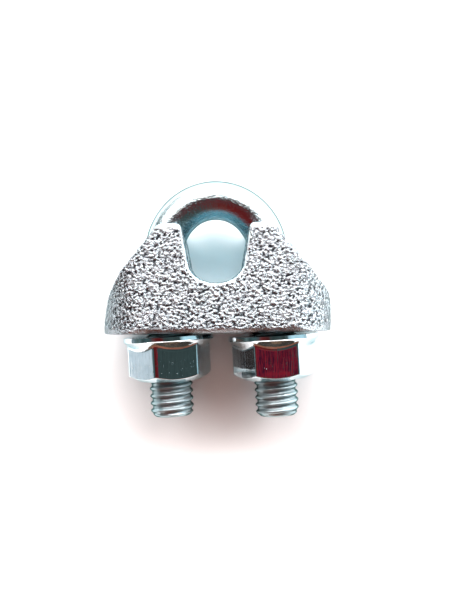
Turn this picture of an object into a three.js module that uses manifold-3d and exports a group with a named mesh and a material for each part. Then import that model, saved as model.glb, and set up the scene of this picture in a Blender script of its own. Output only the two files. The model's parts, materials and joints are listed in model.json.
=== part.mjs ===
// Wire rope clip (U-bolt clamp) for 8 mm rope: a cast saddle, a U-bolt with two M6 legs and two
// hexagon flange nuts. Millimetres.
// The clip lies flat on the saddle's back face: +Z is the rope's axis, +Y runs from the nuts to the
// crown of the U-bolt and +X runs across the two legs. The origin is on the back face, at the middle
// of the clip's outline seen from above.
// Shapes are built in the saddle's own frame, whose origin is the centre of the saddle's nut face,
// halfway through its thickness.

import * as THREE from 'three';
import { mergeVertices } from 'three/addons/utils/BufferGeometryUtils.js';
import Module from 'manifold-3d';

const outlineCentreY = 4.6; // height of the clip's middle over the nut face

// U-bolt. Its own frame has the legs along Y, and is the saddle's frame before the bolt leans.
const wireRadius = 2.675;
const legSpacing = 14.4;
const archCentreY = 10.5;
const archRise = 7.62; // from the arch's centre to the wire's centre line at the crown
const leftLegEndY = -11.05;
const rightLegEndY = -11.8;
const boltLean = THREE.MathUtils.degToRad(2.25); // the loose bolt leans this much in the saddle's holes

// M6 right-hand coarse thread
const pitch = 1;
const majorRadius = 2.95;
const minorRadius = 2.39;
const crestWidth = pitch / 8;
const flankSlope = Math.tan(Math.PI / 6);
const threadTopY = 4; // upper end of the thread on both legs
const threadRunOut = 0.9;
const endChamfer = 0.6;
const threadClearance = 0.12; // radial play between the nut's thread and the leg's

// saddle
const saddleThickness = 13;
const saddleHalfWidth = 15.6;
const saddleEndDepth = 5.5; // how far the rounded ends reach in along X
const saddleEdgeRadius = 0.5;
const wallTopY = 3; // the ends stand straight up to here
const kneeX = 14.4;
const kneeY = 6.2;
const shoulderX = 8.3;
const shoulderY = 13.6;
const hornTopY = 14.6;
const hornOuterX = 7;
const hornInnerX = 5.25;
const notchMouthX = 4.3;
const notchMouthY = 13.5;
const notchHalfWidth = 3.6;
const notchSideY = 9.6; // the notch's straight sides end here, and its round floor begins
const notchFloorY = 6.7;
const legHoleRadius = 3.5;
const channelFloorY = 7.6; // above this, the legs' channel is open to the rope groove

// hexagon flange nuts
const acrossFlats = 10;
const flangeRadius = 6.25;
const flangeFaceRadius = 6.12; // the rim tapers to this at the bearing face
const flangeRim = 0.45;
const flangeConeHeight = 1.05;
const flangeConeTopRadius = 5.05;
const nutHeight = 6;
const nutEndRadius = 4.35;
const nutMouthChamfer = 0.35;
const leftNutFaceY = -0.1;
const rightNutFaceY = -0.75;
const leftNutTurn = THREE.MathUtils.degToRad(14);
const rightNutTurn = THREE.MathUtils.degToRad(1);

// facets
const threadFacets = 20;
const nutFacets = 36;
const archSteps = 34;

const wasm = await Module();
wasm.setup();

// A closed three.js geometry as a manifold-3d solid.
function solid(geometry) {
  const bare = geometry.clone();
  bare.deleteAttribute('normal');
  bare.deleteAttribute('uv');
  const merged = mergeVertices(bare, 1e-4);
  return new wasm.Manifold(new wasm.Mesh({
    numProp: 3,
    vertProperties: merged.attributes.position.array,
    triVerts: new Uint32Array(merged.index.array),
  }));
}

// A manifold-3d solid as a three.js mesh with flat facets.
function namedMesh(name, body, colour, roughness, metalness) {
  const { vertProperties, triVerts } = body.getMesh();
  const shared = new THREE.BufferGeometry();
  shared.setAttribute('position', new THREE.BufferAttribute(vertProperties, 3));
  shared.setIndex(new THREE.BufferAttribute(triVerts, 1));
  const geometry = shared.toNonIndexed();
  geometry.computeVertexNormals();
  const material = new THREE.MeshStandardMaterial({ color: colour, roughness, metalness });
  const mesh = new THREE.Mesh(geometry, material);
  mesh.name = name;
  return mesh;
}

// A solid of revolution about Y from [radius, y] pairs that run from the axis back to the axis.
function turned(profile, facets) {
  const points = profile.map(([radius, y]) => new THREE.Vector2(radius, y));
  return solid(new THREE.LatheGeometry(points, facets));
}

function cylinderBetween(radius, lowY, highY, facets) {
  return turned([[0, lowY], [radius, lowY], [radius, highY], [0, highY]], facets);
}

// A right-hand helix about Y that passes the angle 0 (on +Z) at every whole pitch. Its frames stay
// radial.
class HelixCurve extends THREE.Curve {
  constructor(radius, lowY, turns) {
    super();
    this.radius = radius;
    this.lowY = lowY;
    this.turns = turns;
  }

  angleAt(t) {
    return 2 * Math.PI * (this.lowY / pitch + this.turns * t);
  }

  getPoint(t, target = new THREE.Vector3()) {
    const angle = this.angleAt(t);
    const y = this.lowY + pitch * this.turns * t;
    return target.set(this.radius * Math.sin(angle), y, this.radius * Math.cos(angle));
  }

  computeFrenetFrames(segments) {
    const frames = { tangents: [], normals: [], binormals: [] };
    for (let i = 0; i <= segments; i++) {
      const angle = this.angleAt(i / segments);
      frames.tangents.push(new THREE.Vector3(Math.cos(angle), 0, -Math.sin(angle)));
      frames.normals.push(new THREE.Vector3(Math.sin(angle), 0, Math.cos(angle)));
      frames.binormals.push(new THREE.Vector3(0, -1, 0));
    }
    return frames;
  }
}

// A threaded rod without its end chamfers. Play makes it larger all round, which is the shape a nut
// is tapped with.
function threadedRod(lowY, highY, play) {
  const coreRadius = minorRadius + play;
  const depth = majorRadius - minorRadius;
  const sunk = 0.15; // the ridge's foot lies this far inside the core
  const crestHalf = crestWidth / 2 + play / 3;
  const rootHalf = crestHalf + depth * flankSlope;
  const ridge = new THREE.Shape();
  ridge.moveTo(-sunk, -rootHalf);
  ridge.lineTo(0, -rootHalf);
  ridge.lineTo(depth, -crestHalf);
  ridge.lineTo(depth, crestHalf);
  ridge.lineTo(0, rootHalf);
  ridge.lineTo(-sunk, rootHalf);
  ridge.closePath();
  const turns = Math.ceil((highY - lowY) / pitch) + 1;
  const path = new HelixCurve(coreRadius, Math.floor(lowY) - 0.5 * pitch, turns);
  const helix = new THREE.ExtrudeGeometry(ridge, { steps: turns * threadFacets, extrudePath: path });
  const core = cylinderBetween(coreRadius, lowY - 2 * pitch, highY + 2 * pitch, threadFacets);
  return core.add(solid(helix)).intersect(cylinderBetween(majorRadius + 1, lowY, highY, threadFacets));
}

// One leg's threaded length, chamfered at its free end and tapered where the thread runs out.
function threadedLeg(endY) {
  const blank = turned([
    [0, endY],
    [majorRadius - endChamfer, endY],
    [majorRadius, endY + endChamfer],
    [majorRadius, threadTopY - threadRunOut],
    [wireRadius - 0.2, threadTopY + 0.2],
    [0, threadTopY + 0.2],
  ], threadFacets);
  return threadedRod(endY - 1, threadTopY + 1, 0).intersect(blank);
}

// The plain part of the bolt: a round wire bent over a half ellipse, with a straight stretch at each
// side.
function bentWire() {
  const half = legSpacing / 2;
  const path = new THREE.CurvePath();
  const point = (x, y) => new THREE.Vector3(x, y, 0);
  path.add(new THREE.LineCurve3(point(-half, threadTopY - 0.3), point(-half, archCentreY)));
  const arch = new THREE.EllipseCurve(0, archCentreY, half, archRise, Math.PI, 0, true);
  const archPoints = arch.getSpacedPoints(archSteps).map((p) => point(p.x, p.y));
  for (let i = 0; i < archSteps; i++) {
    path.add(new THREE.LineCurve3(archPoints[i], archPoints[i + 1]));
  }
  path.add(new THREE.LineCurve3(point(half, archCentreY), point(half, threadTopY - 0.3)));
  const section = new THREE.Shape();
  section.absarc(0, 0, wireRadius, 0, 2 * Math.PI);
  const options = { steps: archSteps, curveSegments: threadFacets / 2, extrudePath: path };
  return solid(new THREE.ExtrudeGeometry(section, options));
}

function uBoltBody() {
  const half = legSpacing / 2;
  const leftLeg = threadedLeg(leftLegEndY).translate([-half, 0, 0]);
  const rightLeg = threadedLeg(rightLegEndY).translate([half, 0, 0]);
  return bentWire().add(leftLeg).add(rightLeg);
}

// The saddle's outline seen along the rope: a base with straight ends, sloping shoulders and two
// horns, which leave the rope's notch between them.
function saddleOutline() {
  const outline = new THREE.Shape();
  outline.moveTo(-saddleHalfWidth, 0);
  outline.lineTo(saddleHalfWidth, 0);
  outline.lineTo(saddleHalfWidth, wallTopY);
  outline.quadraticCurveTo(saddleHalfWidth, kneeY - 1.2, kneeX, kneeY);
  outline.lineTo(shoulderX, shoulderY);
  outline.quadraticCurveTo(shoulderX - 0.5, hornTopY, hornOuterX, hornTopY);
  outline.lineTo(hornInnerX, hornTopY);
  outline.quadraticCurveTo(notchMouthX + 0.1, hornTopY, notchMouthX, notchMouthY);
  outline.lineTo(notchHalfWidth, notchSideY);
  outline.absellipse(0, notchSideY, notchHalfWidth, notchSideY - notchFloorY, 0, Math.PI, true);
  outline.lineTo(-notchMouthX, notchMouthY);
  outline.quadraticCurveTo(-notchMouthX - 0.1, hornTopY, -hornInnerX, hornTopY);
  outline.lineTo(-hornOuterX, hornTopY);
  outline.quadraticCurveTo(-shoulderX + 0.5, hornTopY, -shoulderX, shoulderY);
  outline.lineTo(-kneeX, kneeY);
  outline.quadraticCurveTo(-saddleHalfWidth, kneeY - 1.2, -saddleHalfWidth, wallTopY);
  outline.closePath();
  return outline;
}

// The saddle's plan, seen along the legs: straight sides and half-elliptical ends.
function saddlePlan() {
  const straight = saddleHalfWidth - saddleEndDepth;
  const halfThickness = saddleThickness / 2;
  const plan = new THREE.Shape();
  plan.moveTo(-straight, -halfThickness);
  plan.lineTo(straight, -halfThickness);
  plan.absellipse(straight, 0, saddleEndDepth, halfThickness, -Math.PI / 2, Math.PI / 2, false);
  plan.lineTo(-straight, halfThickness);
  plan.absellipse(-straight, 0, saddleEndDepth, halfThickness, Math.PI / 2, 1.5 * Math.PI, false);
  return plan;
}

function saddleBody() {
  const outlineBlock = new THREE.ExtrudeGeometry(saddleOutline(), {
    depth: saddleThickness - 2 * saddleEdgeRadius,
    curveSegments: 8,
    bevelThickness: saddleEdgeRadius,
    bevelSize: saddleEdgeRadius,
    bevelOffset: -saddleEdgeRadius,
    bevelSegments: 3,
  });
  outlineBlock.translate(0, 0, saddleEdgeRadius - saddleThickness / 2);
  const planHeight = hornTopY + 2;
  const planBlock = new THREE.ExtrudeGeometry(saddlePlan(), {
    depth: planHeight,
    curveSegments: 14,
    bevelEnabled: false,
  });
  planBlock.rotateX(Math.PI / 2).translate(0, planHeight - 1, 0);

  let body = solid(outlineBlock).intersect(solid(planBlock));
  for (const x of [-legSpacing / 2, legSpacing / 2]) {
    const legHole = cylinderBetween(legHoleRadius, -1, hornTopY + 1, nutFacets);
    body = body.subtract(legHole.translate([x, 0, 0]));
  }
  const channelHeight = hornTopY + 1 - channelFloorY;
  const channel = new THREE.BoxGeometry(legSpacing, channelHeight, 2 * legHoleRadius);
  channel.translate(0, channelFloorY + channelHeight / 2, 0);
  return body.subtract(solid(channel));
}

// A flange nut in its own frame: its bearing face is y = 0 and it stands down from there. The thread
// is tapped where the leg's thread will be once the nut is in place, so that the two mesh.
function nutBody(faceY, turn) {
  const sharpCornerRadius = acrossFlats / Math.sqrt(3);
  const chamferHeight = (sharpCornerRadius + 0.1 - nutEndRadius) * flankSlope;
  const hexagon = new THREE.CylinderGeometry(sharpCornerRadius, sharpCornerRadius, nutHeight, 6);
  hexagon.rotateY(Math.PI / 6 + turn).translate(0, -nutHeight / 2, 0);
  const endCone = turned([
    [0, -nutHeight],
    [nutEndRadius, -nutHeight],
    [sharpCornerRadius + 0.1, chamferHeight - nutHeight],
    [sharpCornerRadius + 0.1, -0.1],
    [0, -0.1],
  ], nutFacets);
  const flange = turned([
    [0, -flangeRim - flangeConeHeight],
    [flangeConeTopRadius, -flangeRim - flangeConeHeight],
    [flangeRadius, -flangeRim],
    [flangeFaceRadius, 0],
    [0, 0],
  ], nutFacets);
  const mouthRadius = majorRadius + nutMouthChamfer;
  const mouths = turned([
    [0, -nutHeight - 1],
    [mouthRadius + 1, -nutHeight - 1],
    [mouthRadius - 1, 1 - nutHeight],
    [mouthRadius - 1, -1],
    [mouthRadius + 1, 1],
    [0, 1],
  ], threadFacets);
  const tap = threadedRod(faceY - nutHeight - 1, faceY + 1, threadClearance).translate([0, -faceY, 0]);
  const body = solid(hexagon).intersect(endCone).add(flange);
  return body.subtract(mouths).subtract(tap);
}

const clip = new THREE.Group();

const saddleFrame = new THREE.Group();
saddleFrame.position.set(0, -outlineCentreY, saddleThickness / 2);
clip.add(saddleFrame);
saddleFrame.add(namedMesh('saddle', saddleBody(), 0xa9adb0, 0.55, 0.85));

// The bolt and its nuts lean together about the arch's centre.
const boltPivot = new THREE.Group();
boltPivot.position.set(0, archCentreY, 0);
boltPivot.rotation.z = boltLean;
saddleFrame.add(boltPivot);

const boltFrame = new THREE.Group();
boltFrame.position.set(0, -archCentreY, 0);
boltPivot.add(boltFrame);

boltFrame.add(namedMesh('u_bolt', uBoltBody(), 0xc4cccf, 0.25, 1));

const nutLeft = namedMesh('nut_left', nutBody(leftNutFaceY, leftNutTurn), 0xbfc8cb, 0.2, 1);
nutLeft.position.set(-legSpacing / 2, leftNutFaceY, 0);
boltFrame.add(nutLeft);

const nutRight = namedMesh('nut_right', nutBody(rightNutFaceY, rightNutTurn), 0xbfc8cb, 0.2, 1);
nutRight.position.set(legSpacing / 2, rightNutFaceY, 0);
boltFrame.add(nutRight);

export default clip;
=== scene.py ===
"""Looks of a zinc-plated wire rope clip: a sand-cast saddle, a U-bolt with rolled threads and two
flange nuts.

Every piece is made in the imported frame, where the clip lies on z = 0 with the rope's axis along Z.
Lengths inside the script are millimetres, and MM turns them into metres.
The bolt's own frame has its legs along Y; it leans in the saddle's holes, and the slide joint's axis
says how much.
"""

import json
import math

import bmesh
import bpy
import numpy as np
from mathutils import Matrix, Vector, kdtree, noise


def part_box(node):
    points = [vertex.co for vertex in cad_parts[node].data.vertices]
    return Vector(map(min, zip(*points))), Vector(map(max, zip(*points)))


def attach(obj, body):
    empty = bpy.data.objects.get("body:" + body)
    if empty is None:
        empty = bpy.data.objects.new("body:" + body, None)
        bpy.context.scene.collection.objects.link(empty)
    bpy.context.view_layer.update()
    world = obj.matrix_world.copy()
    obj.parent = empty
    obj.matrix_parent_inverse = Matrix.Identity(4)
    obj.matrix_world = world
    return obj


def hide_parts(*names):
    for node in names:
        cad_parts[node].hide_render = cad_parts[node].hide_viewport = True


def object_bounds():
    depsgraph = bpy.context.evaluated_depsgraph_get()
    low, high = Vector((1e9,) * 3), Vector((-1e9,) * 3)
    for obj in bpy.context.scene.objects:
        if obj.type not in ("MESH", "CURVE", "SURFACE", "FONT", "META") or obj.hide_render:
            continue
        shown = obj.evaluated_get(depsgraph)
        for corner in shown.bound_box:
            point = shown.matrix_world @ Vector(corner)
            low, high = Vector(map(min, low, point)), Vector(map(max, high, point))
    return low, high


MM = 0.001

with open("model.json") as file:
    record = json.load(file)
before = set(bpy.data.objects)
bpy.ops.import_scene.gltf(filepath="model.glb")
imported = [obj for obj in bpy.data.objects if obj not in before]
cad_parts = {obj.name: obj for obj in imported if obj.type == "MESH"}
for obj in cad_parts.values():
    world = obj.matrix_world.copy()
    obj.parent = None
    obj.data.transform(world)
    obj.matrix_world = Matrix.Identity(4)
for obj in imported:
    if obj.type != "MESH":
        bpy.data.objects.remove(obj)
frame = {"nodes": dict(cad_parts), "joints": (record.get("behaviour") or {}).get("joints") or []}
cad_low, cad_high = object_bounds()
joints = {joint["name"]: joint for joint in frame["joints"]}

# ----------------------------------------------------------------------------------------------------
# Sizes that the frame states
# ----------------------------------------------------------------------------------------------------

LEG_AXIS = Vector(joints["u_bolt_slide"]["axis"]).normalized()
LEAN = math.atan2(-LEG_AXIS.x, LEG_AXIS.y)
LEFT_FACE = Vector(joints["nut_left_turn"]["pos_m"]) / MM
RIGHT_FACE = Vector(joints["nut_right_turn"]["pos_m"]) / MM
ACROSS_LEGS = Vector((LEG_AXIS.y, -LEG_AXIS.x, 0))
LEG_SPACING = (RIGHT_FACE - LEFT_FACE).dot(ACROSS_LEGS)
HALF_SPACING = LEG_SPACING / 2
# The bolt frame's origin lies midway between the legs, at the height of the left nut's bearing face.
BOLT_ORIGIN = LEFT_FACE + ACROSS_LEGS * HALF_SPACING
BOLT_TO_ROW = Matrix.Translation(BOLT_ORIGIN) @ Matrix.Rotation(LEAN, 4, "Z")


def vertex_values(mesh, kind="co"):
    """The places (co) or normals (normal) of a mesh's vertices, one row each."""
    values = np.zeros(len(mesh.vertices) * 3)
    mesh.vertices.foreach_get(kind, values)
    return values.reshape(-1, 3)


def in_bolt_frame(mesh):
    """A mesh's vertices in the bolt's frame, in millimetres."""
    points = vertex_values(mesh) / MM
    inverse = np.array(BOLT_TO_ROW.inverted())
    return points @ inverse[:3, :3].T + inverse[:3, 3]


bolt_points = in_bolt_frame(frame["nodes"]["u_bolt"].data)
LEFT_END = bolt_points[bolt_points[:, 0] < -HALF_SPACING / 2, 1].min()
RIGHT_END = bolt_points[bolt_points[:, 0] > HALF_SPACING / 2, 1].min()
CROWN = bolt_points[:, 1].max()
RIGHT_FACE_DROP = (RIGHT_FACE - LEFT_FACE).dot(LEG_AXIS)

saddle_low, saddle_high = (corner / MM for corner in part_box("saddle"))

# M6 coarse thread, rolled on plain wire
PITCH = 1.0
MAJOR = 2.95
MINOR = 2.66
WIRE = 2.675
THREAD_PLAY = 0.12
THREAD_TOP = 4.1
THREAD_CREST = 0.07
THREAD_ROOT = 0.39
THREAD_ROUNDING = 0.55
# On both legs the thread's crest passes the bolt frame's +Z side at this height.
THREAD_PHASE = 0.1
RUN_OUT = 0.9
END_CHAMFER = 0.6
CHAMFER_SLOPE = 1.15
CHAMFER_ROUNDING = 0.12
ARCH_RISE = 7.62
ARCH_CENTRE = CROWN - WIRE - ARCH_RISE
ARCH_FLATTENING = 0.05

# flange nuts
NUT_HEIGHT = 6.0
NUT_END = 4.35
NUT_END_SLOPE = math.tan(math.radians(30))
NUT_MOUTH = MAJOR + 0.35
NUT_MIDDLE = LEFT_FACE.y - NUT_HEIGHT / 2
FLANGE = 6.25
FLANGE_FACE = 6.17
FLANGE_RIM = 0.58
FLANGE_RIM_FLARE = 0.08
FLANGE_BEAD = 0.06
FLANGE_BEAD_FLARE = 0.45
FLANGE_CONE = 1.05
FLANGE_CONE_TOP = 5.05
FLAT = 5.0
SIXTH = math.pi / 3
SHARP_CORNER = 0.1
WORN_CORNER = 0.5
SHARP_FROM = math.radians(35)
LEFT_TURN = math.radians(14)
RIGHT_TURN = math.radians(1)

# saddle
VOXEL = 0.125
SMOOTHING = 10
LIP = 1.0
END_LEAN = 0.55
NOTCH_HALF = 4.0
NOTCH_FLOOR = 6.6
RIM_WIDTH = 0.6
TIP_DEPTH = 1.0
GRAIN_LUMP = 0.34
GRAIN_CELL = 0.285
LUMP_HEIGHT = 0.12
CELL_HEIGHT = 0.18
# the grain's peaks, not its middle, reach the saddle's outline
GRAIN_SINK = 0.05
GRAIN_FACE_SINK = 0.12
PIT_TOP = -0.02
PIT_BOTTOM = -0.08


# ----------------------------------------------------------------------------------------------------
# Mesh helpers
# ----------------------------------------------------------------------------------------------------


def placed_object(name, data):
    """A new object in the scene, made from a mesh or a camera."""
    item = bpy.data.objects.new(name, data)
    bpy.context.scene.collection.objects.link(item)
    return item


def shade_smooth(mesh):
    mesh.polygons.foreach_set("use_smooth", [True] * len(mesh.polygons))


def grid_object(name, points, close_rows):
    """A mesh from rows of rings, points[row, column, xyz] in metres. Each ring closes on itself.
    close_rows joins the last ring to the first. Without it, both are single points."""
    rows, columns = points.shape[:2]
    last = rows if close_rows else rows - 1
    row, column = np.meshgrid(np.arange(last), np.arange(columns), indexing="ij")
    a = row * columns + column
    b = row * columns + (column + 1) % columns
    c = ((row + 1) % rows) * columns + (column + 1) % columns
    d = ((row + 1) % rows) * columns + column
    quads = np.stack([a, b, c, d], axis=-1).reshape(-1, 4)
    mesh = bpy.data.meshes.new(name)
    mesh.from_pydata(points.reshape(-1, 3), [], quads.tolist())
    sheet = bmesh.new()
    sheet.from_mesh(mesh)
    bmesh.ops.remove_doubles(sheet, verts=sheet.verts, dist=1e-7)
    bmesh.ops.dissolve_degenerate(sheet, edges=sheet.edges, dist=1e-8)
    bmesh.ops.recalc_face_normals(sheet, faces=sheet.faces)
    sheet.to_mesh(mesh)
    sheet.free()
    shade_smooth(mesh)
    return placed_object(name, mesh)


def set_attribute(item, name, values):
    item.data.attributes.new(name, "FLOAT", "POINT").data.foreach_set("value", values)


def to_row_frame(points, offset=(0, 0, 0)):
    """Points in the bolt's frame, in millimetres, as points in the row frame, in metres."""
    matrix = np.array(BOLT_TO_ROW)
    moved = (points + np.array(offset)) @ matrix[:3, :3].T + matrix[:3, 3]
    return moved * MM


def smooth_step(low, high, value):
    t = np.clip((value - low) / (high - low), 0, 1)
    return t * t * (3 - 2 * t)


def smooth_min(a, b, width):
    """The smaller of a and b, with the corner between them rounded over width."""
    h = np.clip(0.5 + 0.5 * (b - a) / width, 0, 1)
    return b + (a - b) * h - width * h * (1 - h)


def smooth_max(a, b, width):
    return -smooth_min(-a, -b, width)


def thread_radius(height, angle):
    """The right-hand thread's radius at a height in the bolt's frame and an angle from +Z to +X."""
    along = (height - THREAD_PHASE) / PITCH - angle / (2 * math.pi)
    from_crest = np.abs((along + 0.5) % 1 - 0.5)
    share = np.clip((THREAD_ROOT - from_crest) / (THREAD_ROOT - THREAD_CREST), 0, 1)
    share = (1 - THREAD_ROUNDING) * share + THREAD_ROUNDING * smooth_step(0, 1, share)
    return MINOR + (MAJOR - MINOR) * share


# ----------------------------------------------------------------------------------------------------
# U-bolt
# ----------------------------------------------------------------------------------------------------


def bolt_path():
    """Centres and in-plane outward directions of the rings, from the left leg's end to the right's."""
    thread_step = 0.055
    fine_top = THREAD_TOP + 0.4
    shank_start = THREAD_TOP + 0.6
    shank_rings = 16
    arch_rings = 120
    left = np.arange(LEFT_END, fine_top, thread_step)
    right = np.arange(RIGHT_END, fine_top, thread_step)
    shank = np.linspace(shank_start, ARCH_CENTRE, shank_rings, endpoint=False)
    centres = [(-HALF_SPACING, y) for y in np.concatenate([left, shank])]
    outward = [(-1.0, 0.0)] * len(centres)
    for angle in np.linspace(math.pi, 0, arch_rings):
        across = math.cos(angle)
        up = math.sin(angle)
        centres.append((HALF_SPACING * across, ARCH_CENTRE + ARCH_RISE * up))
        outward.append(tuple(Vector((ARCH_RISE * across, HALF_SPACING * up)).normalized()))
    right_leg = [(HALF_SPACING, y) for y in np.concatenate([right, shank])][::-1]
    centres += right_leg
    outward += [(1.0, 0.0)] * len(right_leg)
    return np.array(centres), np.array(outward)


def end_disc(centre, ring, inwards):
    """Rings that close a leg's end, from its middle out, or from its edge in with inwards set."""
    centre = np.array([*centre, 0.0])
    disc = [centre + (ring - centre) * share for share in (0.0, 0.3, 0.6, 0.85, 0.96)]
    return np.array(disc[::-1] if inwards else disc)


def make_u_bolt():
    columns = 72
    centres, outward = bolt_path()
    ring = np.linspace(0, 2 * math.pi, columns, endpoint=False)
    # direction of every ring point from its centre
    dx = outward[:, :1] * np.cos(ring)
    dy = outward[:, 1:] * np.cos(ring)
    dz = np.broadcast_to(np.sin(ring), dx.shape)
    height = np.broadcast_to(centres[:, 1:], dx.shape)
    straight = 0.999999
    on_leg = np.broadcast_to(np.abs(outward[:, :1]) > straight, dx.shape)
    thread = thread_radius(height, np.arctan2(dx, dz))
    plain = np.full(dx.shape, WIRE)
    run_out = smooth_step(THREAD_TOP - RUN_OUT, THREAD_TOP, height)
    radius = np.where(on_leg, thread * (1 - run_out) + plain * run_out, plain)
    end = np.where(centres[:, :1] < 0, LEFT_END, RIGHT_END)
    chamfer = MAJOR - END_CHAMFER + (height - end) * CHAMFER_SLOPE
    radius = np.where(on_leg, smooth_min(radius, chamfer, CHAMFER_ROUNDING), radius)
    # the bend flattens the wire a little on its inside
    bend = smooth_step(0, 1, outward[:, 1:])
    inner_side = np.clip(-np.cos(ring), 0, 1) ** 2
    radius = radius + ARCH_FLATTENING * bend * (1 - bend) * 4 * inner_side
    points = np.stack([
        centres[:, :1] + dx * radius,
        centres[:, 1:] + dy * radius,
        dz * radius,
    ], axis=-1)
    first_disc = end_disc(centres[0], points[0], inwards=False)
    last_disc = end_disc(centres[-1], points[-1], inwards=True)
    all_points = np.concatenate([first_disc, points, last_disc])
    item = grid_object("u_bolt_zinc", to_row_frame(all_points), close_rows=False)
    mark_thread(item)
    return item


def mark_thread(item):
    """Marks where the bolt is threaded, and the thread's roots, for the material."""
    x, height, z = in_bolt_frame(item.data).T
    radius = np.hypot(np.abs(x) - HALF_SPACING, z)
    end = np.where(x < 0, LEFT_END, RIGHT_END)
    plain_until = end + 0.4
    dark_from = end + 0.9
    root = smooth_step(MAJOR - 0.04, MINOR + 0.02, radius)
    root *= smooth_step(plain_until, dark_from, height)
    threaded = smooth_step(THREAD_TOP, THREAD_TOP - RUN_OUT, height)
    set_attribute(item, "threaded", threaded)
    set_attribute(item, "root", root * threaded)


# ----------------------------------------------------------------------------------------------------
# Flange nuts
# ----------------------------------------------------------------------------------------------------


def hexagon_radius(angle, turn, left_corner):
    """Distance from the axis to a hexagon's rounded outline. Turn moves the first flat from +Z to +X.
    left_corner is how widely the corner on that flat's -X side is rounded."""
    off_flat = (angle - turn + SIXTH / 2) % SIXTH - SIXTH / 2
    here = FLAT / np.cos(off_flat)
    beyond = FLAT / np.cos(np.abs(off_flat) - SIXTH)
    at_left_corner = np.cos(angle - turn + SIXTH / 2) > math.cos(SIXTH / 2)
    return smooth_min(here, beyond, np.where(at_left_corner, left_corner, SHARP_CORNER))


def nut_columns(turn):
    """Angles round the nut, gathered near the hexagon's corners."""
    per_side = 26
    gathering = 1.35
    even = np.linspace(-1, 1, per_side, endpoint=False)
    gathered = np.sign(even) * (1 - (1 - np.abs(even)) ** gathering)
    return np.concatenate([turn + k * SIXTH + gathered * SIXTH / 2 for k in range(6)])


def rings(radius, angle, height):
    return np.stack([radius * np.sin(angle), height, radius * np.cos(angle)], axis=-1)


def nut_outside(columns, turn, left_corner):
    """Rings from the bearing face to the end face, over the flange and the hexagon."""
    rim_end = FLANGE_RIM + 0.15
    cone_end = FLANGE_RIM + FLANGE_CONE + 0.5
    flats_start = 2.3
    flats_end = NUT_HEIGHT - 1.4
    heights = -np.concatenate([
        np.linspace(0, rim_end, 26),
        np.linspace(rim_end + 0.05, cone_end, 34),
        np.linspace(flats_start, flats_end, 14),
        np.linspace(flats_end + 0.1, NUT_HEIGHT, 34),
    ])
    angle, height = np.meshgrid(columns, heights)
    hexagon = hexagon_radius(angle, turn, left_corner)
    end_cone = NUT_END + (height + NUT_HEIGHT) / NUT_END_SLOPE
    body = smooth_min(hexagon, end_cone, 0.1)
    cone_slope = (FLANGE - FLANGE_CONE_TOP) / FLANGE_CONE
    cone = FLANGE + (height + FLANGE_RIM) * cone_slope
    # the rim is almost straight, with a slight bead where it meets the cone
    in_bead = np.maximum(-height - (FLANGE_RIM - FLANGE_BEAD), 0)
    rim = FLANGE_FACE - FLANGE_RIM_FLARE * height + FLANGE_BEAD_FLARE * in_bead
    flange = smooth_min(cone, rim, 0.03)
    return rings(smooth_max(body, flange, 0.4), angle, height)


def nut_bore(columns, face_height):
    """Rings through the threaded bore, from the end face to the bearing face."""
    angle, height = np.meshgrid(columns, np.linspace(-NUT_HEIGHT, 0, 110))
    bore = thread_radius(height + face_height, angle) + THREAD_PLAY
    from_mouth = np.minimum(-height, height + NUT_HEIGHT)
    return rings(smooth_max(bore, NUT_MOUTH - from_mouth, 0.06), angle, height)


def flat_rings(first, last):
    """Rings between two rings of a flat face."""
    shares = np.linspace(0, 1, 8)[1:-1, None, None]
    return first * (1 - shares) + last * shares


def make_nut(name, side, face_height, turn, left_corner):
    columns = nut_columns(turn)
    outside = nut_outside(columns, turn, left_corner)
    bore = nut_bore(columns, face_height)
    end_face = flat_rings(outside[-1], bore[0])
    bearing_face = flat_rings(bore[-1], outside[0])
    points = np.concatenate([outside, end_face, bore, bearing_face])
    placed = to_row_frame(points, offset=(side * HALF_SPACING, face_height, 0))
    item = grid_object(name, placed, close_rows=True)
    item.data.set_sharp_from_angle(angle=SHARP_FROM)
    return item


# ----------------------------------------------------------------------------------------------------
# Cast saddle
# ----------------------------------------------------------------------------------------------------


def applied(item):
    """Bakes an object's modifiers into its mesh."""
    graph = bpy.context.evaluated_depsgraph_get()
    baked = bpy.data.meshes.new_from_object(item.evaluated_get(graph))
    item.modifiers.clear()
    item.data = baked
    return item


def plain_saddle():
    """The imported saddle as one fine, smoothed mesh."""
    mesh = frame["nodes"]["saddle"].data.copy()
    item = placed_object("saddle_casting", mesh)
    welded = bmesh.new()
    welded.from_mesh(mesh)
    bmesh.ops.remove_doubles(welded, verts=welded.verts, dist=1e-7)
    welded.to_mesh(mesh)
    welded.free()
    mesh.materials.clear()

    remesh = item.modifiers.new("remesh", "REMESH")
    remesh.mode = "VOXEL"
    remesh.voxel_size = VOXEL * MM
    applied(item)
    smooth = item.modifiers.new("smooth", "SMOOTH")
    smooth.factor = 0.5
    smooth.iterations = SMOOTHING
    return applied(item)


def make_saddle():
    item = plain_saddle()
    points = vertex_values(item.data) / MM
    normals = vertex_values(item.data, "normal")
    shape_casting(points)
    notch = notch_share(points, normals)
    rim = rim_share(points, notch)
    grain = cast_grain(points, np.maximum(notch, rim))
    moved = grain - GRAIN_SINK - GRAIN_FACE_SINK * np.abs(normals[:, 2])
    points += normals * moved[:, None]
    np.clip(points, saddle_low, saddle_high, out=points)
    set_attribute(item, "notch", notch)
    set_attribute(item, "rim", rim)
    # the grain's low points, which the casting's material colours as painted shade
    set_attribute(item, "pit", smooth_step(PIT_TOP, PIT_BOTTOM, grain))
    item.data.vertices.foreach_set("co", (points * MM).ravel())
    shade_smooth(item.data)
    item.data.update()
    return item


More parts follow.
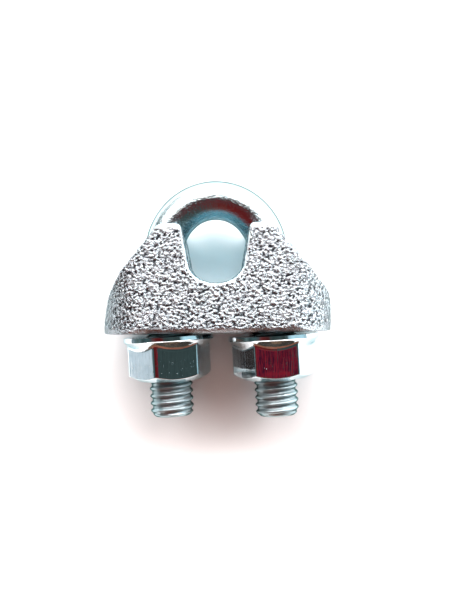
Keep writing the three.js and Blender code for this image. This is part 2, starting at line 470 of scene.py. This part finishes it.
def shape_casting(points):
    """Gives the nut face's edges a rounded, wavy lip, and leans the left end in."""
    x, y, z = points.T
    height = y - saddle_low.y
    middle = (saddle_low.z + saddle_high.z) / 2
    half = (saddle_high.z - saddle_low.z) / 2
    long_wave = 0.12 * np.sin(1.3 * x + 0.6)
    short_wave = 0.08 * np.sin(3.1 * x + 2.0)
    lip = LIP + long_wave + short_wave
    depth_in = np.clip(lip - height, 0, lip)
    reach = half - (lip - np.sqrt(np.maximum(lip ** 2 - depth_in ** 2, 0)))
    points[:, 2] = middle + np.clip(z - middle, -reach, reach)
    # the left end stands straight at its foot, leans in most at its knee and not at all above
    knee = 5.5
    shoulder = 9.0
    at_left_end = smooth_step(-11.0, -15.5, x)
    by_height = smooth_step(0.0, knee, height) * smooth_step(shoulder, knee, height)
    points[:, 0] += END_LEAN * at_left_end * by_height


def notch_share(points, normals):
    """1 on the rope notch's smooth walls, 0 elsewhere."""
    height = points[:, 1] - saddle_low.y
    fade = 0.6
    between_horns = smooth_step(NOTCH_HALF + fade, NOTCH_HALF, np.abs(points[:, 0]))
    above_floor = smooth_step(NOTCH_FLOOR - fade, NOTCH_FLOOR, height)
    sideways = smooth_step(0.6, 0.3, np.abs(normals[:, 2]))
    return between_horns * above_floor * sideways


def rim_share(points, notch):
    """1 on the smooth rim that runs round the notch and over the horns' tips, 0 elsewhere."""
    walls = points[notch > 0.5]
    tree = kdtree.KDTree(len(walls))
    for i, wall in enumerate(walls):
        tree.insert(wall, i)
    tree.balance()
    far = 9.0
    searched = 7.0
    from_notch = np.full(len(points), far)
    for i in np.flatnonzero(np.abs(points[:, 0]) < searched):
        from_notch[i] = tree.find(points[i])[2]
    beside = smooth_step(RIM_WIDTH, 0.2, from_notch)
    tips = smooth_step(saddle_high.y - TIP_DEPTH, saddle_high.y - 0.6, points[:, 1])
    worn = 0.75 + 0.25 * np.sin(2.6 * points[:, 0]) * np.sin(2.2 * points[:, 1])
    return worn * (1 - notch) * np.maximum(beside, tips)


def cast_grain(points, smooth):
    """How far the sand mould's grain moves each point of the saddle along its normal."""
    # the nut face and its lip are smoother too
    under = smooth_step(1.0, 0.5, points[:, 1] - saddle_low.y)
    smoothing = 0.8
    rough = 1 - smoothing * np.maximum(smooth, under)
    grain = np.zeros(len(points))
    for i, point in enumerate(points):
        place = Vector((point[0] * 0.85, point[1] * 1.1, point[2]))
        lumps = noise.fractal(place / GRAIN_LUMP, 0.8, 2.0, 3, noise_basis="PERLIN_ORIGINAL")
        nearest = noise.voronoi(place / GRAIN_CELL)[0][0]
        grain[i] = LUMP_HEIGHT * lumps + CELL_HEIGHT * (0.45 - nearest)
    return grain * rough


# ----------------------------------------------------------------------------------------------------
# Materials
# ----------------------------------------------------------------------------------------------------


# Colours of the zinc, from dull to bright
CASTING_DULL = (0.47, 0.57, 0.61)
CASTING_BRIGHT = (0.92, 0.97, 1.0)
CASTING_STAIN = (0.40, 0.42, 0.45)
# painted shade where the surface turns away from the eye
CASTING_EDGE_SHADE = (0.08, 0.16, 0.18)
# painted shade in the grain's pits
PIT_SHADE = (0.01, 0.015, 0.025)
# painted shade on the notch's walls
NOTCH_SHADE_BLUE = (0.18, 0.38, 0.46)
RIM_PALE = (0.93, 0.95, 0.95)
WIRE_DULL = (0.70, 0.84, 0.88)
WIRE_BRIGHT = (0.84, 0.91, 0.92)
# painted shade where the wire turns away from the eye
WIRE_EDGE_SHADE = (0.09, 0.15, 0.15)
WIRE_EDGE_TINT = (0.3, 0.5, 0.5)
THREAD_DULL = (0.55, 0.66, 0.69)
# darker colour of the thread's roots
ROOT_DARK = (0.06, 0.06, 0.06)
NUT_DULL = (0.70, 0.79, 0.83)
NUT_BRIGHT = (0.86, 0.89, 0.90)
NUT_EDGE_TINT = (0.6, 0.78, 0.8)
TABLE_DULL = (0.86, 0.86, 0.86)
TABLE_BRIGHT = (0.89, 0.89, 0.89)


class Nodes:
    """Short names for building a node tree."""

    def __init__(self, tree):
        self.tree = tree
        tree.nodes.clear()

    def add(self, kind, inputs=None, **settings):
        node = self.tree.nodes.new(kind)
        for key, value in settings.items():
            setattr(node, key, value)
        for key, value in (inputs or {}).items():
            if isinstance(value, bpy.types.NodeSocket):
                self.tree.links.new(value, node.inputs[key])
            else:
                node.inputs[key].default_value = value
        return node

    def math(self, operation, *values):
        return self.add("ShaderNodeMath", dict(enumerate(values)), operation=operation).outputs[0]

    def noise(self, vector, scale, detail=3.0, roughness=0.55):
        inputs = {"Vector": vector, "Scale": scale, "Detail": detail, "Roughness": roughness}
        return self.add("ShaderNodeTexNoise", inputs).outputs["Fac"]

    def remap(self, value, low, high, to_low, to_high):
        inputs = {"Value": value, 1: low, 2: high, 3: to_low, 4: to_high}
        return self.add("ShaderNodeMapRange", inputs, interpolation_type="SMOOTHSTEP").outputs[0]

    def share(self, value, low, high):
        """0 where value is at low, 1 where it is at high."""
        return self.remap(value, low, high, 0.0, 1.0)

    def blend(self, share, first, second):
        """The first colour where share is 0, the second where it is 1."""
        a = first if isinstance(first, bpy.types.NodeSocket) else (*first, 1)
        b = second if isinstance(second, bpy.types.NodeSocket) else (*second, 1)
        return self.add("ShaderNodeMix", {0: share, 6: a, 7: b}, data_type="RGBA").outputs[2]


def new_material(name):
    material = bpy.data.materials.new(name)
    material.use_nodes = True
    return material, Nodes(material.node_tree)


def object_place(nodes, stretch=(1, 1, 1)):
    """Place on the object in millimetres, stretched per axis."""
    place = nodes.add("ShaderNodeTexCoord").outputs["Object"]
    scale = tuple(s / MM for s in stretch)
    return nodes.add("ShaderNodeVectorMath", {0: place, 1: scale}, operation="MULTIPLY").outputs[0]


def attribute(nodes, name):
    return nodes.add("ShaderNodeAttribute", attribute_name=name).outputs["Fac"]


def turned_away(nodes, low, high):
    """0 where the surface faces the eye, 1 where it turns away from it."""
    facing = nodes.add("ShaderNodeLayerWeight", {"Blend": 0.5}).outputs["Facing"]
    return nodes.share(facing, low, high)


def finish_metal(nodes, colour, roughness, bump_height, bump_distance, edge_tint=(1, 1, 1)):
    """Edge_tint is how much of each colour the metal still mirrors where it turns away from the eye."""
    bump = nodes.add("ShaderNodeBump", {"Height": bump_height, "Distance": bump_distance * MM})
    shader = nodes.add("ShaderNodeBsdfPrincipled", {
        "Base Color": colour,
        "Metallic": 1.0,
        "Roughness": roughness,
        "Normal": bump.outputs[0],
        "Specular Tint": (*edge_tint, 1),
    })
    nodes.add("ShaderNodeOutputMaterial", {"Surface": shader.outputs[0]})


def casting_material():
    material, nodes = new_material("zinc_casting")
    place = object_place(nodes)
    fine = nodes.noise(place, scale=5.2, detail=3.0, roughness=0.65)
    coarse = nodes.noise(place, scale=1.6, detail=2.0, roughness=0.5)
    tone = nodes.blend(coarse, CASTING_DULL, CASTING_BRIGHT)
    blotches = nodes.noise(place, scale=0.35, detail=2.0)
    stain = nodes.remap(blotches, 0.5, 0.7, to_low=0.0, to_high=0.35)
    tone = nodes.blend(stain, tone, CASTING_STAIN)
    # painted shade: the grain's pits are coloured near black, for the shade among the grains
    darkening = nodes.math("MULTIPLY", attribute(nodes, "pit"), 0.97)
    tone = nodes.blend(darkening, tone, PIT_SHADE)
    # painted shade: the notch's walls are coloured dark blue, for the shadowed hole they mirror
    tone = nodes.blend(attribute(nodes, "notch"), tone, NOTCH_SHADE_BLUE)
    # the rim is rubbed pale and satin
    rim = attribute(nodes, "rim")
    tone = nodes.blend(rim, tone, RIM_PALE)
    roughness = nodes.remap(coarse, 0.3, 0.7, to_low=0.06, to_high=0.13)
    roughness = nodes.math("MAXIMUM", roughness, nodes.math("MULTIPLY", rim, 0.6))
    # painted shade: the colour turns a dark dull blue where the surface turns away from the eye, for
    # the dark outline and the grain's shaded sides
    tone = nodes.blend(turned_away(nodes, 0.38, 0.78), tone, CASTING_EDGE_SHADE)
    finish_metal(nodes, tone, roughness, fine, bump_distance=0.14)
    return material


def wire_material():
    material, nodes = new_material("zinc_wire")
    place = object_place(nodes)
    cloud = nodes.noise(place, scale=0.5, detail=2.0)
    tone = nodes.blend(cloud, WIRE_DULL, WIRE_BRIGHT)
    peel = nodes.noise(place, scale=4.4, detail=2.0, roughness=0.6)
    haze = nodes.noise(place, scale=1.2, detail=3.0)
    roughness = nodes.remap(haze, 0.3, 0.7, to_low=0.03, to_high=0.07)
    # rolling leaves the threads duller than the wire, and their roots are coloured darker
    threaded = attribute(nodes, "threaded")
    tone = nodes.blend(threaded, tone, THREAD_DULL)
    darkening = nodes.math("MULTIPLY", attribute(nodes, "root"), 0.3)
    tone = nodes.blend(darkening, tone, ROOT_DARK)
    roughness = nodes.math("MAXIMUM", roughness, nodes.math("MULTIPLY", threaded, 0.33))
    # painted shade: the wire is coloured dark along its outline, where it turns away from the eye
    tone = nodes.blend(turned_away(nodes, 0.58, 0.72), tone, WIRE_EDGE_SHADE)
    finish_metal(nodes, tone, roughness, peel, bump_distance=0.065, edge_tint=WIRE_EDGE_TINT)
    return material


def nut_material():
    material, nodes = new_material("zinc_nut")
    place = object_place(nodes)
    drawn = object_place(nodes, stretch=(2.2, 0.10, 2.2))
    lines = nodes.noise(drawn, scale=1.2, detail=3.0, roughness=0.6)
    specks = nodes.noise(place, scale=2.9, detail=3.0, roughness=0.6)
    pits = nodes.share(specks, 0.63, 0.74)
    height = nodes.add("ShaderNodeSeparateXYZ", {0: place}).outputs["Y"]
    # the scuffs are mostly on the end that stands away from the saddle
    scuff_low = NUT_MIDDLE - 1.2
    scuff_high = NUT_MIDDLE + 0.6
    scuffed = nodes.remap(height, scuff_low, scuff_high, to_low=0.3, to_high=0.05)
    cloud = nodes.noise(place, scale=0.4, detail=2.0)
    dents = nodes.noise(place, scale=0.55, detail=1.0)
    tone = nodes.blend(cloud, NUT_DULL, NUT_BRIGHT)
    relief = nodes.math("MULTIPLY", lines, 0.7)
    relief = nodes.math("ADD", relief, nodes.math("MULTIPLY", pits, scuffed))
    relief = nodes.math("ADD", relief, dents)
    roughness = nodes.remap(cloud, 0.3, 0.7, to_low=0.02, to_high=0.06)
    finish_metal(nodes, tone, roughness, relief, bump_distance=0.03, edge_tint=NUT_EDGE_TINT)
    return material


def floor_material():
    material, nodes = new_material("pale_table")
    cloud = nodes.noise(object_place(nodes), scale=0.08, detail=2.0)
    tone = nodes.blend(cloud, TABLE_DULL, TABLE_BRIGHT)
    shader = nodes.add("ShaderNodeBsdfPrincipled", {"Base Color": tone, "Roughness": 0.7})
    nodes.add("ShaderNodeOutputMaterial", {"Surface": shader.outputs[0]})
    return material


# ----------------------------------------------------------------------------------------------------
# Stage: floor, surroundings and camera
# ----------------------------------------------------------------------------------------------------


# What the metal mirrors, as linear light
DIM_ROOM = (0.045, 0.08, 0.085)
PALE_ROOM = (0.40, 0.62, 0.70)
RED_ROOM = (0.33, 0.12, 0.08)
BRIGHT_WINDOW = (4.8, 4.5, 4.5)
DIM_CORNER = (0.11, 0.16, 0.16)
DIM_BEYOND = (0.10, 0.16, 0.18)
PALE_BEYOND = (0.42, 0.50, 0.54)
RED_BEYOND = (0.20, 0.12, 0.08)
PALE_PATCH = (0.60, 0.68, 0.74)
FIGURE = (0.04, 0.062, 0.062)
SLEEVE = (0.13, 0.013, 0.013)
RED_HAND = (0.20, 0.011, 0.022)
CAMERA_SPOT = (0.025, 0.005, 0.02)
MIRRORED_TWICE = (0.05, 0.07, 0.065)

# Where in the sky it is
WINDOW_SIDE = (0.12, 1, 0.1)
CORNER_SIDE = (-0.87, 0.5, 0)
PATCH_SIDE = (-0.98, -0.17, -0.11)
FIGURE_BODY = (-0.04, -0.11, 1)
FIGURE_SHOULDER = (0.30, -0.50, 0.81)
SLEEVE_SIDE = (-0.359, -0.428, 0.829)
SLEEVE_EDGE = (-0.906, -0.423, 0)
HAND_SIDE = (0.06, -0.10, 1)
CAMERA_SIDE = (0.09, -0.07, 1)
PANES_SIDE = (0.087, 0.996, 0)

# What lights the table
LOW_PANES = (12.0, 20.5, 23.0)
FRAME_BETWEEN_PANES = (0.2, 0.2, 0.2)
HIGH_PANES = (14.0, 13.1, 13.0)
DARK_WALL = (0.01, 0.01, 0.01)
RED_WALL = (0.08, 0.01, 0.01)
CEILING = (0.72, 0.48, 0.42)
BACKDROP = (1.0, 1.0, 1.0)


def make_floor():
    near = 50 * MM
    far = 400 * MM
    mesh = bpy.data.meshes.new("table")
    z = cad_low.z
    corners = [(-near, -near, z), (far, -near, z), (far, far, z), (-near, far, z)]
    mesh.from_pydata(corners, [], [(0, 1, 2, 3)])
    mesh.materials.append(floor_material())
    placed_object("table", mesh)


class Sky(Nodes):
    """A world's node tree, with shares that depend on the direction of a ray."""

    def __init__(self, tree):
        super().__init__(tree)
        self.direction = self.add("ShaderNodeTexCoord").outputs["Generated"]
        self.path = self.add("ShaderNodeLightPath").outputs
        self.up = self.along((0, 0, 1))
        self.towards_red = self.along((0, -1, 0))

    def along(self, side):
        """Cosine between the ray and a direction."""
        ends = {0: self.direction, 1: tuple(Vector(side).normalized())}
        return self.add("ShaderNodeVectorMath", ends, operation="DOT_PRODUCT").outputs["Value"]

    def cap(self, side, inner, outer):
        """1 within inner degrees of a direction, 0 beyond outer degrees."""
        cosines = [math.cos(math.radians(angle)) for angle in (outer, inner)]
        return self.share(self.along(side), *cosines)


def mirrored_room(sky):
    """What the metal mirrors: a pale room, dim at -X and reddish at -Y, a bright window at +Y and
    a dark figure overhead."""
    to_red = sky.share(sky.towards_red, 0.3, 0.8)
    to_pale = sky.share(sky.along((1, 0, 0)), -0.55, 0.35)
    room = sky.blend(to_red, sky.blend(to_pale, DIM_ROOM, PALE_ROOM), RED_ROOM)
    bright = sky.share(sky.along(WINDOW_SIDE), 0.30, 0.55)
    room = sky.blend(bright, room, BRIGHT_WINDOW)
    # a dim corner low down between the window and -X
    corner = sky.share(sky.along(CORNER_SIDE), 0.62, 0.86)
    corner = sky.math("MULTIPLY", corner, sky.share(sky.up, 0.45, 0.30))
    room = sky.blend(corner, room, DIM_CORNER)
    # beyond the table's near edges, with something pale just below the horizon at -X
    beyond = sky.blend(to_red, sky.blend(to_pale, DIM_BEYOND, PALE_BEYOND), RED_BEYOND)
    room = sky.blend(sky.share(sky.up, 0.03, -0.03), room, beyond)
    room = sky.blend(sky.cap(PATCH_SIDE, inner=7, outer=13), room, PALE_PATCH)
    # the dark figure's body and shoulder, its red sleeve and hand, and the camera's small spot
    room = sky.blend(sky.cap(FIGURE_BODY, inner=36, outer=40), room, FIGURE)
    room = sky.blend(sky.cap(FIGURE_SHOULDER, inner=28, outer=36), room, FIGURE)
    sleeve = sky.cap(SLEEVE_SIDE, inner=30, outer=37)
    past_edge = sky.share(sky.along(SLEEVE_EDGE), 0.04, 0.16)
    room = sky.blend(sky.math("MULTIPLY", sleeve, past_edge), room, SLEEVE)
    room = sky.blend(sky.cap(HAND_SIDE, inner=6, outer=9), room, RED_HAND)
    room = sky.blend(sky.cap(CAMERA_SIDE, inner=0.8, outer=3.0), room, CAMERA_SPOT)
    # little of this reaches the table, or the metal by a second mirroring
    twice = sky.remap(sky.path["Glossy Depth"], 1.0, 2.0, to_low=0.0, to_high=0.7)
    room = sky.blend(twice, room, MIRRORED_TWICE)
    clutter = sky.noise(sky.direction, scale=5.0, detail=3.0, roughness=0.6)
    shade = sky.remap(clutter, 0.3, 0.7, to_low=0.6, to_high=1.4)
    to_table = sky.remap(sky.path["Diffuse Depth"], 0.0, 1.0, to_low=1.0, to_high=0.04)
    shade = sky.math("MULTIPLY", shade, to_table)
    return sky.add("ShaderNodeVectorMath", {0: room, 3: shade}, operation="SCALE").outputs[0]


def table_light(sky):
    """What lights the table: a wide window at +Y, bluish low down, a dim room and the ceiling."""
    level = sky.math("SQRT", sky.math("SUBTRACT", 1.0, sky.math("MULTIPLY", sky.up, sky.up)))
    window = sky.share(sky.math("DIVIDE", sky.along(PANES_SIDE), level), 0.26, 0.82)
    panes = sky.blend(sky.share(sky.up, 0.17, 0.30), LOW_PANES, FRAME_BETWEEN_PANES)
    panes = sky.blend(sky.share(sky.up, 0.40, 0.55), panes, HIGH_PANES)
    walls = sky.blend(sky.share(sky.towards_red, 0.0, 0.6), DARK_WALL, RED_WALL)
    light = sky.blend(window, walls, panes)
    return sky.blend(sky.share(sky.up, 0.70, 0.84), light, CEILING)


def make_surroundings():
    """The table is lit by one set of lights, the metal mirrors a room, and the camera sees white."""
    world = bpy.data.worlds.new("studio")
    bpy.context.scene.world = world
    world.use_nodes = True
    sky = Sky(world.node_tree)
    colour = sky.blend(sky.path["Is Glossy Ray"], table_light(sky), mirrored_room(sky))
    colour = sky.blend(sky.path["Is Camera Ray"], colour, BACKDROP)
    background = sky.add("ShaderNodeBackground", {"Color": colour, "Strength": 1.0})
    sky.add("ShaderNodeOutputWorld", {"Surface": background.outputs[0]})


def make_camera():
    """Looks straight down at the clip from a hand's height, turned by a degree."""
    height = 119.3
    roll = math.radians(-1.0)
    data = bpy.data.cameras.new("camera")
    data.sensor_width = 36
    data.lens = 49.1
    data.clip_start = 1 * MM
    camera = placed_object("camera", data)
    camera.location = (1.1 * MM, -0.2 * MM, height * MM)
    camera.rotation_euler = (0, 0, roll)
    bpy.context.scene.camera = camera


# ----------------------------------------------------------------------------------------------------
# Assembly
# ----------------------------------------------------------------------------------------------------


def dress(item, material, body):
    """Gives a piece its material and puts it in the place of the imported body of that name."""
    item.data.materials.clear()
    item.data.materials.append(material)
    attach(item, body)
    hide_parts(body)


zinc_nut = nut_material()
dress(make_u_bolt(), wire_material(), "u_bolt")
left_nut = make_nut("nut_left_zinc", -1, 0.0, LEFT_TURN, WORN_CORNER)
right_nut = make_nut("nut_right_zinc", 1, RIGHT_FACE_DROP, RIGHT_TURN, SHARP_CORNER)
dress(left_nut, zinc_nut, "nut_left")
dress(right_nut, zinc_nut, "nut_right")
dress(make_saddle(), casting_material(), "saddle")

make_floor()
make_surroundings()
make_camera()
bpy.context.scene.view_settings.view_transform = "Standard"
